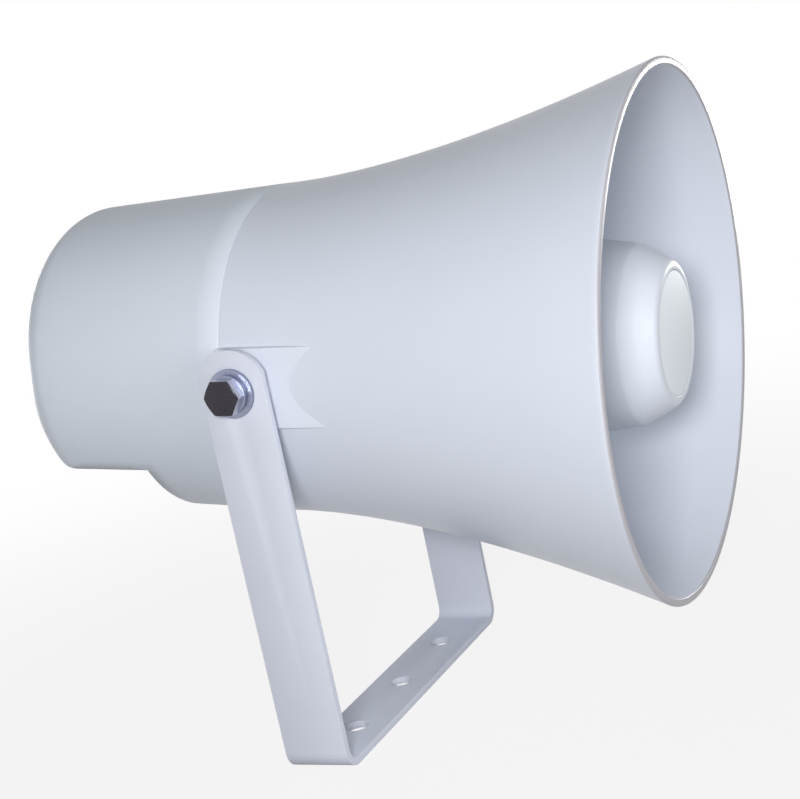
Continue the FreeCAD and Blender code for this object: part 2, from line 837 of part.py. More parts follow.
def transformer_core():
    core = core_block(core_stack / 2, core_width / 2, cover_floor_z, cover_floor_z + core_height)
    z0 = window_bottom_z()
    windows = []
    for side in (1, -1):
        y = side * (core_limb_width + core_window_width) / 2
        windows.append(block(core_centre_x - core_stack, core_centre_x + core_stack,
                             y - core_window_width / 2, y + core_window_width / 2,
                             z0, z0 + core_window_height))
    return core.cut(windows)


def bobbin_tube_half():
    grow = bobbin_play + bobbin_wall
    return core_stack / 2 + grow, core_limb_width / 2 + grow


def transformer_bobbin():
    half_x, half_y = bobbin_tube_half()
    z0 = window_bottom_z() + bobbin_play
    z1 = z0 + core_window_height - 2 * bobbin_play
    bore_x = core_stack / 2 + bobbin_play
    bore_y = core_limb_width / 2 + bobbin_play
    tube = core_block(half_x, half_y, z0, z1)
    flange_y = core_limb_width / 2 + core_window_width - bobbin_play
    flange_x = half_x + winding_build + winding_play
    low = core_block(flange_x, flange_y, z0, z0 + bobbin_wall)
    high = core_block(flange_x, flange_y, z1 - bobbin_wall, z1)
    return tube.fuse([low, high]).cut(core_block(bore_x, bore_y, z0, z1))


def transformer_winding():
    half_x, half_y = bobbin_tube_half()
    build = core_window_width - bobbin_play - bobbin_wall - 2 * winding_play
    z0 = window_bottom_z() + bobbin_play + bobbin_wall
    z1 = window_bottom_z() + core_window_height - bobbin_play - bobbin_wall
    outside = core_block(half_x + winding_build, half_y + build, z0, z1)
    upright = [e for e in outside.Edges if e.BoundBox.ZLength > bobbin_wall]
    outside = outside.makeFillet(build / 2, upright)
    return outside.cut(core_block(half_x, half_y, z0, z1))


def transformer_strap():
    top_z = cover_floor_z + core_height
    ear_z = cover_floor_z + floor_boss_height
    half_core = core_width / 2
    half_strap = half_core + strap_thickness
    shell = core_block(strap_width / 2, half_strap, ear_z, top_z + strap_thickness)
    shell = shell.cut(core_block(strap_width, half_core, ear_z, top_z))
    ears = []
    holes = []
    for side in (1, -1):
        near = side * half_core
        far = side * (half_strap + strap_ear_length)
        ears.append(block(core_centre_x - strap_width / 2, core_centre_x + strap_width / 2,
                          min(near, far), max(near, far), ear_z, ear_z + strap_thickness))
        holes.append(Part.makeCylinder(small_screw_radius + clearance_hole_play, strap_thickness,
                                       Vector(core_centre_x, side * strap_ear_y, ear_z)))
    return shell.fuse(ears).cut(holes)


def transformer_screws():
    screws = []
    head_z = cover_floor_z + floor_boss_height + strap_thickness
    for y in (-strap_ear_y, strap_ear_y):
        screw = pan_screw(0, transformer_screw_length, small_screw_radius, small_head_radius, 0, 0)
        screw.rotate(ORIGIN, PIVOT, 90)
        screw.translate(Vector(core_centre_x, y, head_z))
        screws.append(screw)
    return screws


def block_way_places():
    pitch = block_size[0] / block_ways
    return [core_centre_x + pitch * (i - (block_ways - 1) / 2) for i in range(block_ways)]


def terminal_block():
    length, width, height = block_size
    low_y = block_centre_y - width / 2
    wire_z = cover_floor_z + block_wire_height
    body = block(core_centre_x - length / 2, core_centre_x + length / 2,
                 low_y, low_y + width, cover_floor_z, cover_floor_z + height)
    holes = []
    for x in block_way_places():
        holes.append(Part.makeCylinder(block_wire_radius, width, Vector(x, low_y, wire_z), PIVOT))
        holes.append(Part.makeCylinder(block_clamp_radius + thread_play, height - block_wire_height,
                                       Vector(x, block_centre_y, wire_z)))
    return body.cut(holes)


def terminal_clamps():
    """The clamping screws of the terminal block, sunk in it."""
    clamps = []
    low_z = cover_floor_z + block_wire_height
    top_z = cover_floor_z + block_size[2] - block_clamp_recess
    for x in block_way_places():
        clamp = Part.makeCylinder(block_clamp_radius, top_z - low_z, Vector(x, block_centre_y, low_z))
        slot = block(x - block_clamp_radius, x + block_clamp_radius,
                     block_centre_y - clamp_slot_width / 2, block_centre_y + clamp_slot_width / 2,
                     top_z - clamp_slot_depth, top_z)
        clamps.append(clamp.cut(slot))
    return clamps


def gland_turned(points):
    """Spin an outline about the gland's own axis."""
    solid = turned_polygon(points)
    solid.translate(Vector(0, 0, -gland_centre_below_axis))
    return solid


def gland_hexagon(x0, x1, flats):
    """A hexagonal prism along the gland's axis with flats above and below."""
    corners = [Vector(x0, y, z - gland_centre_below_axis) for y, z in hexagon(flats)]
    return Part.Face(Part.makePolygon(corners)).extrude(Vector(x1 - x0, 0, 0))


def gland_rod(x0, x1, radius):
    return rod(x0, x1, radius, 0, -gland_centre_below_axis)


def gland_body():
    inner_x = notch_step_x + gland_inner_length
    seat_x = gland_neck_x + gland_seal_length / 2
    body = gland_hexagon(gland_flange_x, notch_step_x, gland_hex)
    thread = gland_rod(notch_step_x - overlap, inner_x, gland_thread_radius)
    neck = gland_rod(gland_neck_x, gland_flange_x + overlap, gland_neck_radius)
    seat = gland_rod(gland_neck_x, seat_x, gland_seal_radius + gland_play)
    bore = gland_rod(seat_x, inner_x, gland_bore_radius)
    return body.fuse([thread, neck]).cut([seat, bore])


def gland_seal():
    half = gland_seal_length / 2
    outside = gland_rod(gland_neck_x - half, gland_neck_x + half, gland_seal_radius)
    return outside.cut(gland_rod(gland_neck_x - half, gland_neck_x + half, cable_radius))


def gland_cap():
    """The nut that presses the seal about the cable."""
    front_x = gland_flange_x - gland_cap_gap
    rear_x = front_x - gland_cap_length
    shoulder_x = front_x - gland_grip_length
    pocket_x = gland_neck_x - gland_seal_length / 2 - gland_play
    bore_radius = gland_neck_radius + gland_play
    grip = gland_hexagon(shoulder_x, front_x, gland_hex)
    dome = gland_turned([
        (rear_x, 0),
        (rear_x, gland_lip_radius + gland_cap_wall),
        (shoulder_x, gland_hex / 2),
        (shoulder_x, 0),
    ])
    pocket = gland_turned([
        (rear_x, 0),
        (rear_x, gland_lip_radius),
        (pocket_x, gland_lip_radius),
        (pocket_x, gland_seal_radius + gland_play),
        (gland_neck_x, bore_radius),
        (front_x, bore_radius),
        (front_x, 0),
    ])
    return grip.fuse(dome).cut(pocket)


def gland_locknut():
    x0 = notch_step_x + cover_wall
    x1 = x0 + locknut_thickness
    return gland_hexagon(x0, x1, locknut_flats).cut(gland_rod(x0, x1, gland_thread_radius + gland_play))


def pivot_bolt():
    """A hexagon bolt with a chamfered head, a corner of which points to the mouth."""
    corners = [Vector(x, head_seat_y, z) for x, z in hexagon(bolt_head_flats)]
    prism = Part.Face(Part.makePolygon(corners)).extrude(Vector(0, bolt_head_height, 0))
    chamfer_y = head_seat_y + bolt_head_height - bolt_head_chamfer
    corner = bolt_head_flats / math.sqrt(3)
    crown_radius = corner - bolt_head_chamfer / math.tan(math.radians(bolt_chamfer_deg))
    crown = Part.makeCone(corner, crown_radius, bolt_head_chamfer, Vector(0, chamfer_y, 0), PIVOT)
    head = prism.common(along_y(head_seat_y, chamfer_y, corner).fuse(crown))
    return head.fuse(along_y(head_seat_y - bolt_length, head_seat_y + overlap, bolt_radius))


def flat_washer():
    return washer(washer_y, washer_thickness, washer_radius, bolt_radius + washer_play)


def spring_washer():
    coil = washer(spring_washer_y, spring_washer_thickness, spring_washer_radius, bolt_radius + washer_play)
    half_gap = spring_washer_gap / 2
    split = block(-half_gap, half_gap, spring_washer_y, head_seat_y, 0, spring_washer_radius + overlap)
    split.rotate(ORIGIN, PIVOT, spring_washer_turn_deg)
    return coil.cut(split)


def friction_washer():
    return washer(collar_end_y, friction_washer_thickness, collar_radius, bolt_radius + washer_play)


def threaded_insert():
    return washer(collar_end_y - insert_length, insert_length, insert_radius, bolt_radius + thread_play)


def upright_block(half_width, bottom_z, top_z, corner_round):
    """A block as wide as the strip, with its two lower edges rounded as a bend."""
    half_strip = strip_width / 2
    solid = block(-half_strip, half_strip, -half_width, half_width, bottom_z, top_z)
    low = [e for e in solid.Edges if e.BoundBox.ZMax < top_z / 2 and e.BoundBox.XLength > half_strip]
    return solid.makeFillet(corner_round, low)


def mounting_bracket():
    """A flat strip bent to a U, with rounded arm ends, a pivot hole in each arm and three base holes."""
    half = bracket_outer_width / 2
    half_strip = strip_width / 2
    centre_z = pivot_height + arm_end_centre_above_pivot
    top_z = centre_z + arm_end_radius
    outer = upright_block(half, 0, top_z, bend_inner_radius + strip_thickness)
    inner = upright_block(arm_inner_y, strip_thickness, top_z + overlap, bend_inner_radius)
    corner_z = centre_z + math.sqrt(arm_end_radius ** 2 - half_strip ** 2)
    low_left = Vector(-half_strip, -half, 0)
    low_right = Vector(half_strip, -half, 0)
    high_right = Vector(half_strip, -half, corner_z)
    high_left = Vector(-half_strip, -half, corner_z)
    side_view = Part.Wire([
        Part.LineSegment(low_left, low_right).toShape(),
        Part.LineSegment(low_right, high_right).toShape(),
        Part.Arc(high_right, Vector(0, -half, top_z), high_left).toShape(),
        Part.LineSegment(high_left, low_left).toShape(),
    ])
    strip = outer.cut(inner).common(Part.Face(side_view).extrude(PIVOT * bracket_outer_width))
    holes = []
    for y in (-base_hole_pitch, 0, base_hole_pitch):
        holes.append(Part.makeCylinder(base_hole_radius, strip_thickness, Vector(0, y, 0)))
    pivot_hole = along_y(-half, half, pivot_hole_radius)
    pivot_hole.translate(Vector(0, 0, pivot_height))
    return strip.cut(holes + [pivot_hole])


def export(name, shape):
    shape.exportStep("parts/" + name + ".step")


def set_on_bracket(pieces):
    """Tilt a piece of the horn, or a list of pieces, about the pivot axis and lift it to the pivot."""
    shape = Part.makeCompound(pieces) if isinstance(pieces, list) else pieces.copy()
    shape.rotate(ORIGIN, PIVOT, horn_tilt_deg)
    shape.translate(Vector(0, 0, pivot_height))
    return shape


def cover_screws():
    return screw_group(cover_screw_circle, cover_screw_angles, post_end_x - well_floor,
                       cover_screw_length, screw_radius, screw_head_radius)


def driver_screws():
    return screw_group(driver_screw_circle, driver_screw_angles, flange_rear_x,
                       driver_screw_length, screw_radius, screw_head_radius)


def reflector_screws():
    return screw_group(leg_circle, leg_angles(), bulkhead_rear_x,
                       reflector_screw_length, small_screw_radius, small_head_radius)


horn_pieces = [
    horn_bell, reflector, nose_disc, throat_tube,
    driver_gasket, driver_housing, phase_plug, diaphragm, voice_coil, spacer_ring,
    top_plate, magnet, back_plate, driver_terminals,
    rear_cover, well_plugs, cover_gasket,
    transformer_core, transformer_bobbin, transformer_winding, transformer_strap, transformer_screws,
    terminal_block, terminal_clamps,
    gland_body, gland_seal, gland_cap, gland_locknut,
    cover_screws, driver_screws, reflector_screws,
]
pivot_pieces = [pivot_bolt, flat_washer, spring_washer, friction_washer, threaded_insert]

os.makedirs("parts", exist_ok=True)
export("mounting_bracket", mounting_bracket())
for make in horn_pieces:
    export(make.__name__, set_on_bracket(make()))
for make in pivot_pieces:
    left = make()
    right = left.mirror(ORIGIN, PIVOT)
    export(make.__name__ + "_left", set_on_bracket(left))
    export(make.__name__ + "_right", set_on_bracket(right))
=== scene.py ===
import math

import bmesh
import bpy
from mathutils import Matrix, Vector
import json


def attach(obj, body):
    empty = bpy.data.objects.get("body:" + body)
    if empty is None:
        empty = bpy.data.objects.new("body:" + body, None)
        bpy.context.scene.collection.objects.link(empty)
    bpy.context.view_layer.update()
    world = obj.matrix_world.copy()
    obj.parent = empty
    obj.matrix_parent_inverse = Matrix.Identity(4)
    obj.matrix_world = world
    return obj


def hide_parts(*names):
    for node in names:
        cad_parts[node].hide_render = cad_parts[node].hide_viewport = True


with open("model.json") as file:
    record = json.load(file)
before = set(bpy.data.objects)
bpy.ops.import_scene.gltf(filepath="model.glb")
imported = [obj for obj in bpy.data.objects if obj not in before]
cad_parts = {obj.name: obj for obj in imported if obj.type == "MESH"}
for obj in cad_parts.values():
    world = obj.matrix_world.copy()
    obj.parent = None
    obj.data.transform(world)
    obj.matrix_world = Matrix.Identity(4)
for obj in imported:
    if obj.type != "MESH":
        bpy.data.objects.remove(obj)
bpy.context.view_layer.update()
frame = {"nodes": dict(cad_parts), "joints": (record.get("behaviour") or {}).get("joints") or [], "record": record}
scene = bpy.context.scene

# A public-address horn on a U bracket, dressed around its CAD frame.
# Sizes are written in millimetres and turned to metres where a piece is set in place.
# The horn is drawn about its own axis, +X towards the mouth, with zero at the pivot.
# Radii are named _radius, and places along an axis are named _x, _y or _z.
mm = 0.001
pivot = Vector(frame["joints"][0]["pos_m"])
horn_tilt = math.radians(4.9)
on_horn = (Matrix.Translation(pivot) @ Matrix.Rotation(horn_tilt, 4, "Y")
           @ Matrix.Scale(mm, 4))
on_ground = Matrix.Scale(mm, 4)

# Forms of one moulding are drawn this far into each other
overlap = 1.0
# Points closer than this become one: of a turned shape in millimetres, of a CAD mesh in metres
weld_distance = 0.0005
cad_weld_distance = 0.000002
cut_tolerance = 0.0001
# Edges sharper than this angle are rounded, with this many faces
sharp_angle = math.radians(50)
edge_segments = 3
# Corners above this angle stay crisp
crease_angle = math.radians(32)

# Bell
mouth_radius = 102.0
mouth_x = 150.4
seam_x = -10.8
seam_radius = 68.4
flare_power = 1.64
bell_wall = 3.0
rim_length = 3.0
rim_round = 0.8
seam_groove = 0.4
skirt_inner_radius = 64.4
bulkhead_rear_x = 10.0
bulkhead_front_x = 14.0
bulkhead_hole_radius = 30.3
bowl_round = 20.0
post_end_x = -12.0
post_radius = 4.2
cover_screw_circle = 47.5
cover_screw_angles = (60.0, 120.0, 195.0, 345.0)
driver_screw_circle = 37.5
driver_screw_angles = (45.0, 135.0, 225.0, 315.0)
driver_boss_radius = 4.2
driver_boss_end_x = 19.0

# Pads and collars at the pivot
pad_distance = 70.6
pad_root_y = 65.4
pad_top_z = 15.0
pad_bottom_z = -16.2
pad_front_x = 36.0
pad_edge_round = 0.5
pad_sink = 1.6
pad_cuts_x = 40
pad_cuts_z = 12
collar_radius = 10.0
collar_root_y = 66.0
collar_end_y = 73.2
collar_edge_round = 0.4
insert_radius = 5.6
insert_bottom_y = 59.2
insert_boss_radius = 9.0
insert_boss_start_y = 56.7
insert_boss_middle_radius = 0.01

# Reflector and its disc
nose_x = 147.9
nose_radius = 27.0
nose_round = 3.6
nose_cone_x = 135.4
nose_cone_radius = 34.3
nose_shoulder_round = 5.0
reflector_rear_x = 34.0
reflector_rear_radius = 47.0
reflector_slope = math.radians(9.5)
reflector_straight_share = 0.6
reflector_wall = 2.5
reflector_rear_round = 0.6
reflector_turn_steps = 384
nose_wall = 2.5
leg_circle = 44.5
leg_angles = (90.0, 210.0, 330.0)
leg_radius = 3.5
leg_pad_radius = 4.5
leg_foot_x = 17.0
leg_end_x = 41.0
disc_radius = 23.5
disc_recess = 1.3
disc_recess_round = 0.25
disc_thickness = 1.5
# The photograph's disc is nearly flush with the nose
disc_front_rise = 1.2
disc_rear_x = nose_x - disc_recess - disc_thickness
disc_front_x = nose_x - disc_recess + disc_front_rise
disc_play = 0.15
disc_edge_round = 0.35

# Bracket strip
strip_width = 27.4
strip_thickness = 3.0
arm_outer_y = 78.5
bend_outer_radius = 8.0
arm_end_radius = 14.3
arm_end_z = 155.6
pivot_z = 153.6
base_hole_radius = 4.75
base_hole_pitch = 44.0
pivot_hole_radius = 4.3
strip_edge_round = 0.8

# Pivot bolts and washers, counted outwards from the arm
washer_y = 78.8
washer_thickness = 1.6
washer_radius = 9.4
washer_bore = 4.25
washer_edge_round = 0.25
spring_washer_thickness = 2.0
spring_washer_radius = 7.4
spring_washer_edge_round = 0.3
spring_washer_gap = math.radians(17)
# The gap lies behind the bolt head, as the photograph shows none
spring_washer_turn = math.radians(262)
head_seat_y = 82.4
head_height = 5.3
head_flats = 13.0
head_chamfer = 0.75
head_chamfer_slope = math.radians(30)
bolt_radius = 4.0
bolt_length = 20.0
bolt_tip_round = 0.6
bolt_neck_overlap = 0.5


# Shaping helpers


def rounded(before, corner, after, radius, steps=5):
    """The points of an arc that rounds one corner of a profile."""
    before, corner, after = Vector(before), Vector(corner), Vector(after)
    a = (before - corner).normalized()
    b = (after - corner).normalized()
    half = a.angle(b) / 2
    reach = radius / math.tan(half)
    centre = corner + (a + b).normalized() * radius / math.sin(half)
    start = corner + a * reach - centre
    end = corner + b * reach - centre
    sweep = start.angle_signed(end)
    points = []
    for i in range(steps + 1):
        point = centre + Matrix.Rotation(-sweep * i / steps, 2) @ start
        points.append(tuple(point))
    return points


def spaced(start, end, steps):
    """Evenly spaced values, with both ends."""
    return [start + (end - start) * i / steps for i in range(steps + 1)]


def sweep_points(centre, radius, start_deg, end_deg, steps):
    """Points of an arc, with the angle counted from +X towards larger radii."""
    turn = spaced(math.radians(start_deg), math.radians(end_deg), steps)
    return [(centre[0] + radius * math.cos(a), centre[1] + radius * math.sin(a)) for a in turn]


def bezier(start, pull, end, steps):
    """Points of a curve that leaves start towards pull and comes to end from it."""
    points = []
    for t in spaced(0.0, 1.0, steps):
        points.append(tuple(start[i] * (1 - t) ** 2 + 2 * pull[i] * t * (1 - t) + end[i] * t ** 2
                            for i in (0, 1)))
    return points


def turned(profile, steps=192, axis="X"):
    """Spin a closed profile of (place along the axis, radius) points about the axis."""
    bm = bmesh.new()
    along = Vector((1, 0, 0)) if axis == "X" else Vector((0, 1, 0))
    corners = [bm.verts.new(along * place + Vector((0, 0, radius))) for place, radius in profile]
    for a, b in zip(corners, corners[1:] + corners[:1]):
        bm.edges.new((a, b))
    bmesh.ops.spin(bm, geom=bm.verts[:] + bm.edges[:], cent=(0, 0, 0), axis=along, dvec=(0, 0, 0),
                   angle=math.tau, steps=steps, use_merge=True, use_normal_flip=False,
                   use_duplicate=False)
    bmesh.ops.remove_doubles(bm, verts=bm.verts, dist=weld_distance)
    bmesh.ops.recalc_face_normals(bm, faces=bm.faces)
    return bm


def soften(bm, size):
    """Round the sharp edges, as a mould or a deburring wheel leaves them."""
    sharp = [e for e in bm.edges if e.is_manifold and e.calc_face_angle() > sharp_angle]
    bmesh.ops.bevel(bm, geom=sharp, offset=size, offset_type="OFFSET", affect="EDGES",
                    segments=edge_segments, profile=0.5, material=-1, clamp_overlap=True)
    bmesh.ops.recalc_face_normals(bm, faces=bm.faces)
    return bm


def cut(bm, place, normal, keep_inside=False):
    """Cut the whole shape along a plane, and drop what lies beyond it if asked to."""
    return bmesh.ops.bisect_plane(bm, geom=bm.verts[:] + bm.edges[:] + bm.faces[:],
                                  dist=cut_tolerance, plane_co=place, plane_no=normal,
                                  clear_outer=keep_inside)["geom_cut"]


def rod(start, end, radius, y=0.0, z=0.0, axis="X", edge=0.3):
    """A round bar along X or Y with softened ends."""
    bm = bmesh.new()
    turn = Matrix.Rotation(math.pi / 2, 4, "Y" if axis == "X" else "X")
    bmesh.ops.create_cone(bm, cap_ends=True, segments=48, radius1=radius, radius2=radius,
                          depth=abs(end - start), matrix=turn)
    soften(bm, edge)
    middle = (start + end) / 2
    place = (middle, y, z) if axis == "X" else (y, middle, z)
    bmesh.ops.translate(bm, verts=bm.verts, vec=place)
    return bm


def on_circle(radius, angle_deg):
    """The y and z of a place on a circle about the horn's axis, counted from +Y."""
    angle = math.radians(angle_deg)
    return radius * math.cos(angle), radius * math.sin(angle)


def joined(parts):
    """One bmesh from several, which may lie into each other as in one moulding."""
    whole = bmesh.new()
    for part in parts:
        scratch = bpy.data.meshes.new("scratch")
        part.to_mesh(scratch)
        part.free()
        whole.from_mesh(scratch)
        bpy.data.meshes.remove(scratch)
    return whole


def mirrored(bm):
    """The same piece on the other side of the horn."""
    twin = bm.copy()
    bmesh.ops.scale(twin, verts=twin.verts, vec=(1, -1, 1))
    bmesh.ops.recalc_face_normals(twin, faces=twin.faces)
    return twin


def piece(bm, name, body, slot, nodes, place=on_horn, finish=None):
    """Set a shape in place as a piece of the object, instead of its CAD nodes."""
    bm.transform(place)
    mesh = bpy.data.meshes.new(name)
    bm.to_mesh(mesh)
    bm.free()
    mesh.shade_smooth()
    mesh.set_sharp_from_angle(angle=crease_angle)
    obj = bpy.data.objects.new(name, mesh)
    scene.collection.objects.link(obj)
    mesh.materials.append(finishes[finish or slot])
    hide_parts(*nodes)
    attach(obj, body)


def merged_copy(node):
    """A welded copy of a CAD node's loose triangles, in metres and already in place."""
    bm = bmesh.new()
    bm.from_mesh(frame["nodes"][node].data)
    bmesh.ops.remove_doubles(bm, verts=bm.verts, dist=cad_weld_distance)
    return bm


# Finishes


class Finish:
    """A node material, with short calls for the few nodes that the finishes share."""

    def __init__(self, name):
        self.material = bpy.data.materials.new(name)
        self.material.use_nodes = True
        self.nodes = self.material.node_tree.nodes
        self.links = self.material.node_tree.links
        self.shader = self.nodes["Principled BSDF"]
        self.place = self.nodes.new("ShaderNodeTexCoord").outputs["Object"]

    def stretched(self, scale):
        """The place, squeezed or drawn out along each direction."""
        mapping = self.nodes.new("ShaderNodeMapping")
        mapping.inputs["Scale"].default_value = scale
        self.links.new(self.place, mapping.inputs["Vector"])
        return mapping.outputs["Vector"]

    def noise(self, scale, detail=3.0, roughness=0.5, place=None):
        noise = self.nodes.new("ShaderNodeTexNoise")
        noise.inputs["Scale"].default_value = scale
        noise.inputs["Detail"].default_value = detail
        noise.inputs["Roughness"].default_value = roughness
        self.links.new(place or self.place, noise.inputs["Vector"])
        return noise.outputs["Fac"]

    def patchy(self, pattern, tone, drop):
        """A tone that falls by drop where the pattern is low."""
        ramp = self.nodes.new("ShaderNodeValToRGB")
        low, high = ramp.color_ramp.elements
        low.position, low.color = 0.3, shade(*darker(tone, drop))
        high.position, high.color = 0.7, shade(*tone)
        self.links.new(pattern, ramp.inputs["Fac"])
        return ramp.outputs["Color"]

    def spread(self, value, low, high):
        """Turn 0 to 1 into low to high."""
        remap = self.nodes.new("ShaderNodeMapRange")
        remap.inputs["To Min"].default_value = low
        remap.inputs["To Max"].default_value = high
        self.links.new(value, remap.inputs["Value"])
        return remap.outputs["Result"]

    def bump(self, height, strength, distance):
        bump = self.nodes.new("ShaderNodeBump")
        bump.inputs["Strength"].default_value = strength
        bump.inputs["Distance"].default_value = distance
        self.links.new(height, bump.inputs["Height"])
        self.links.new(bump.outputs["Normal"], self.shader.inputs["Normal"])

    def step(self, value, start, end):
        """0 up to start, and 1 from end on."""
        step = self.nodes.new("ShaderNodeMapRange")
        step.inputs["From Min"].default_value = start
        step.inputs["From Max"].default_value = end
        self.links.new(value, step.inputs["Value"])
        return step.outputs["Result"]

    def beyond(self, x):
        """1 where the point lies further along the horn than x, and 0 before it."""
        forward = (on_horn.to_3x3() @ Vector((1, 0, 0))).normalized()
        along = self.nodes.new("ShaderNodeVectorMath")
        along.operation = "DOT_PRODUCT"
        along.inputs[1].default_value = forward
        self.links.new(self.place, along.inputs[0])
        start = forward.dot(pivot) + x * mm
        return self.step(along.outputs["Value"], start, start + 0.2 * mm)

    def mixed(self, share, first, second):
        """The first colour at share 0 and the second at share 1."""
        mix = self.nodes.new("ShaderNodeMix")
        mix.data_type = "RGBA"
        self.links.new(share, mix.inputs["Factor"])
        self.links.new(first, mix.inputs[6])
        self.links.new(second, mix.inputs[7])
        return mix.outputs[2]

    def use(self, socket, value):
        """Give the shader a node's output or a plain value."""
        if isinstance(value, bpy.types.NodeSocket):
            self.links.new(value, self.shader.inputs[socket])
        else:
            self.shader.inputs[socket].default_value = value


def shade(red, green, blue):
    """A screen colour, out of 255, as the linear values that the shader takes."""
    linear = []
    for value in (red, green, blue):
        c = value / 255
        linear.append(c / 12.92 if c <= 0.04045 else ((c + 0.055) / 1.055) ** 2.4)
    return (*linear, 1.0)


def darker(tone, drop):
    return tuple(max(0, t - drop) for t in tone)


def moulded_plastic(name, tone, drop=5, gloss=0.3, skin=0.06, polish=0.0, rim_painted_shade=None):
    """Moulded plastic: faint flow marks in its tone, uneven gloss, a fine orange-peel skin.

    With a rim painted shade tone, the end of the mouth is darker than the rest: painted shade on the mouth's end
    face.
    """
    f = Finish(name)
    f.use("Specular IOR Level", 0.15)
    f.use("Coat Weight", polish)
    f.use("Coat Roughness", 0.07)
    flow = f.noise(9.0, 4.0, 0.55)
    color = f.patchy(flow, tone, drop)
    if rim_painted_shade:
        # Painted shade: the end face of the mouth takes the darker tone
        color = f.mixed(f.beyond(mouth_x - rim_round), color, f.patchy(flow, rim_painted_shade, drop))
    f.use("Base Color", color)
    f.use("Roughness", f.spread(f.noise(45.0, 5.0, 0.6), gloss - 0.05, gloss + 0.07))
    f.bump(f.noise(900.0, 2.0, 0.5), skin, 0.00025)
    return f.material


def powder_coat(name, tone):
    """Powder coat on steel: pebbled skin with slight changes of tone."""
    f = Finish(name)
    f.use("Base Color", f.patchy(f.noise(14.0, 4.0, 0.55), tone, 6))
    f.use("Specular IOR Level", 0.08)
    f.use("Roughness", f.spread(f.noise(60.0, 4.0, 0.6), 0.46, 0.6))
    f.bump(f.noise(1400.0, 2.0, 0.55), 0.12, 0.0003)
    return f.material


def metal(name, tone, drop=30, gloss=0.3, marks=900.0, stretch=(1, 1, 1), skin=0.08):
    """Bare, cast or plated metal with fine marks, stretched along the way it was worked."""
    f = Finish(name)
    worked = f.noise(marks, 3.0, 0.6, f.stretched(stretch))
    f.use("Base Color", f.patchy(worked, tone, drop))
    f.use("Metallic", 1.0)
    f.use("Roughness", f.spread(f.noise(120.0, 4.0, 0.6), gloss - 0.06, gloss + 0.1))
    f.bump(worked, skin, 0.0001)
    return f.material


def bolt_steel(name, flats, face):
    """Stainless bolt: bright flats, and the face on top of the head painted dark, a painted dark reflection."""
    f = Finish(name)
    split = f.nodes.new("ShaderNodeSeparateXYZ")
    f.links.new(f.place, split.inputs["Vector"])
    outward = f.nodes.new("ShaderNodeMath")
    outward.operation = "ABSOLUTE"
    f.links.new(split.outputs["Y"], outward.inputs[0])
    face_edge_y = head_seat_y + head_height - head_chamfer
    on_face = f.step(outward.outputs["Value"], (face_edge_y - 0.05) * mm, (face_edge_y + 0.1) * mm)
    worked = f.noise(1300.0, 3.0, 0.6)
    # The top face takes the dark tone, a painted dark reflection
    f.use("Base Color", f.mixed(on_face, f.patchy(worked, flats, 26), f.patchy(worked, face, 18)))
    f.use("Metallic", 1.0)
    f.use("Roughness", f.spread(f.noise(300.0, 4.0, 0.6), 0.16, 0.3))
    f.bump(worked, 0.06, 0.0001)
    return f.material


def dull(name, tone, gloss=0.75):
    """Rubber, paper, ceramic and the like: dull, with a fine grain."""
    f = Finish(name)
    f.use("Base Color", f.patchy(f.noise(60.0, 4.0, 0.6), tone, 10))
    f.use("Roughness", f.spread(f.noise(200.0, 3.0, 0.5), gloss - 0.07, gloss + 0.1))
    f.bump(f.noise(300.0, 2.0, 0.5), 0.2, 0.0003)
    return f.material


finishes = {
    "bracket_paint": powder_coat("bracket_paint", (214, 217, 229)),
    "horn_plastic": moulded_plastic("horn_plastic", (221, 226, 237),
                                    # The rim tone is painted shade on the end face of the mouth
                                    rim_painted_shade=(184, 182, 188)),
    "cover_plastic": moulded_plastic("cover_plastic", (220, 226, 236), gloss=0.36),
    "reflector_plastic": moulded_plastic("reflector_plastic", (224, 229, 239), gloss=0.3,
                                         polish=0.06),
    "disc_plastic": moulded_plastic("disc_plastic", (243, 248, 255), drop=2, gloss=0.42),
    "tube_plastic": moulded_plastic("tube_plastic", (212, 217, 228)),
    "plug_plastic": moulded_plastic("plug_plastic", (40, 41, 44), gloss=0.45),
    "dome_film": moulded_plastic("dome_film", (120, 92, 60), gloss=0.3),
    "bobbin_plastic": moulded_plastic("bobbin_plastic", (206, 198, 176), gloss=0.45),
    "block_plastic": moulded_plastic("block_plastic", (44, 46, 50), gloss=0.42),
    "gland_plastic": moulded_plastic("gland_plastic", (196, 200, 206), gloss=0.45, skin=0.12),
    "washer_fibre": dull("washer_fibre", (152, 160, 172)),
    "seal_rubber": dull("seal_rubber", (46, 46, 48), gloss=0.8),
    "magnet_ferrite": dull("magnet_ferrite", (58, 57, 58), gloss=0.6),
    "driver_casting": metal("driver_casting", (190, 192, 196), gloss=0.5, marks=260.0, skin=0.3),
    "coil_wire": metal("coil_wire", (196, 118, 70), gloss=0.36),
    "tag_brass": metal("tag_brass", (214, 186, 122), gloss=0.32),
    "plate_steel": metal("plate_steel", (184, 184, 176), gloss=0.36),
    "core_steel": metal("core_steel", (118, 116, 112), gloss=0.5, stretch=(8, 1, 1)),
    "screw_steel": metal("screw_steel", (176, 176, 172), gloss=0.3),
    # The second tone is the head's top face, a painted dark reflection
    "stainless": bolt_steel("stainless", (204, 205, 214), (74, 72, 78)),
    "washer_steel": metal("washer_steel", (152, 157, 178), drop=12, gloss=0.42, marks=700.0),
}


# Bell


def flare_share(x):
    """How far x lies from the seam to the mouth, as a share."""
    return max(0.0, (x - seam_x) / (mouth_x - seam_x))


def flare_radius(x):
    return seam_radius + (mouth_radius - seam_radius) * flare_share(x) ** flare_power


def bell_inner_radius(x):
    """The radius one wall inside the flare, measured square to it."""
    rise = (mouth_radius - seam_radius) / (mouth_x - seam_x)
    slope = rise * flare_power * flare_share(x) ** (flare_power - 1)
    return flare_radius(x) - bell_wall * math.hypot(1, slope)


